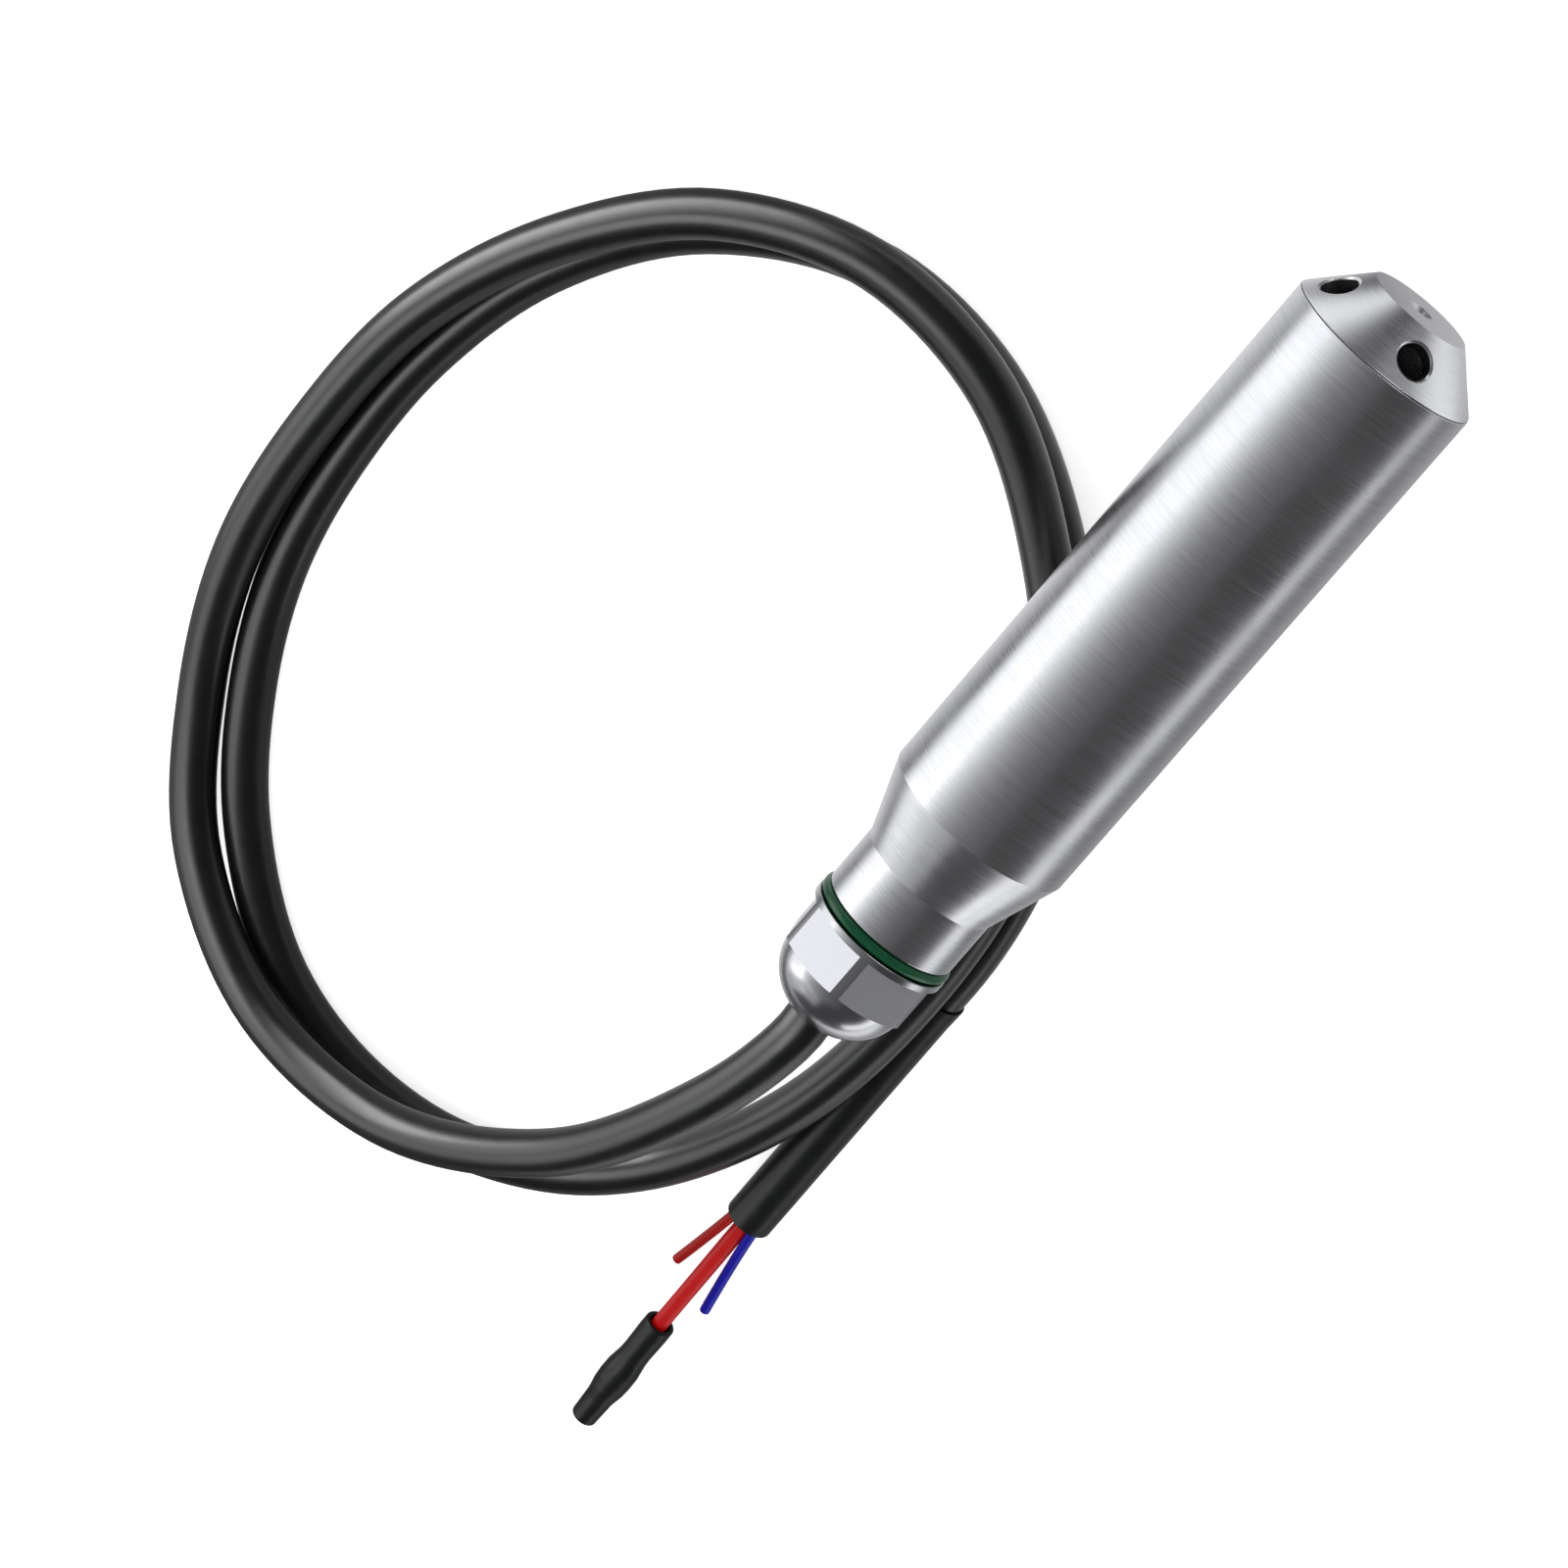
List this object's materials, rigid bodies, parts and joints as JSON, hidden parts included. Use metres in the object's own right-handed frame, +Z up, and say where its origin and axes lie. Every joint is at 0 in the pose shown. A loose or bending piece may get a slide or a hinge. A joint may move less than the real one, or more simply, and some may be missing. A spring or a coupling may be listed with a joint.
{
  "type": "submersible level transmitter",
  "caption": "Turned stainless submersible level probe with a pierced conical nose, a hexagonal cable gland and a looped black cable ending in leads and a breather tube.",
  "frame": {"origin": "on the floor, under the middle of the probe's box, the cable and what is on it not counted", "axes": "+Z up from the floor, +X along the probe's plan towards its nose, which points 12.4 degrees below +X; the cable's loops lie on the +Y side"},
  "size_m": [0.2308, 0.1292, 0.0482],
  "materials": {
    "stainless": "fine circumferential brushing",
    "brass": "turned",
    "gold_plating": "plated",
    "plated_metal": "satin",
    "green_rubber": "smooth",
    "black_rubber": "matte",
    "cable_jacket": "semi-gloss extruded",
    "shrink_sleeve": "shrunk, satin",
    "red_plastic": "satin",
    "blue_plastic": "satin",
    "board": "satin",
    "chip_plastic": "moulded",
    "holder_plastic": "moulded",
    "trimmer_plastic": "moulded",
    "terminal_plastic": "moulded"
  },
  "bodies": {
    "root": {"probe_tube": "stainless", "nose_cap": "stainless", "gland_nut": "stainless", "gland_o_ring": "green_rubber", "gland_grommet": "black_rubber", "thrust_washer": "stainless", "press_screw": "brass", "crimp_ring": "plated_metal", "cable_end": "cable_jacket", "cable": "cable_jacket", "end_sleeve": "shrink_sleeve", "red_lead": "red_plastic", "blue_lead": "blue_plastic", "vent_tube": "red_plastic", "breather_cap": "shrink_sleeve", "red_lead_inner": "red_plastic", "blue_lead_inner": "blue_plastic", "vent_tube_inner": "red_plastic", "retaining_ring": "stainless", "sensor_carrier": "stainless", "carrier_o_ring": "black_rubber", "pressure_cell": "stainless", "cell_o_ring": "black_rubber", "diaphragm": "stainless", "pin_board": "board", "cell_pin_1": "gold_plating", "cell_pin_2": "gold_plating", "cell_pin_3": "gold_plating", "cell_pin_4": "gold_plating", "cell_vent_pipe": "stainless", "amplifier_board": "board", "rear_board_holder": "holder_plastic", "front_board_holder": "holder_plastic", "terminal_block": "terminal_plastic", "surge_arrester": "plated_metal", "output_transistor": "chip_plastic", "signal_chip": "chip_plastic", "zero_trimmer": "trimmer_plastic", "span_trimmer": "trimmer_plastic", "filter_capacitor_1": "plated_metal", "filter_capacitor_2": "plated_metal", "link_wire_1": "red_plastic", "link_wire_2": "holder_plastic", "link_wire_3": "holder_plastic", "link_wire_4": "holder_plastic"}
  },
  "joints": []
}
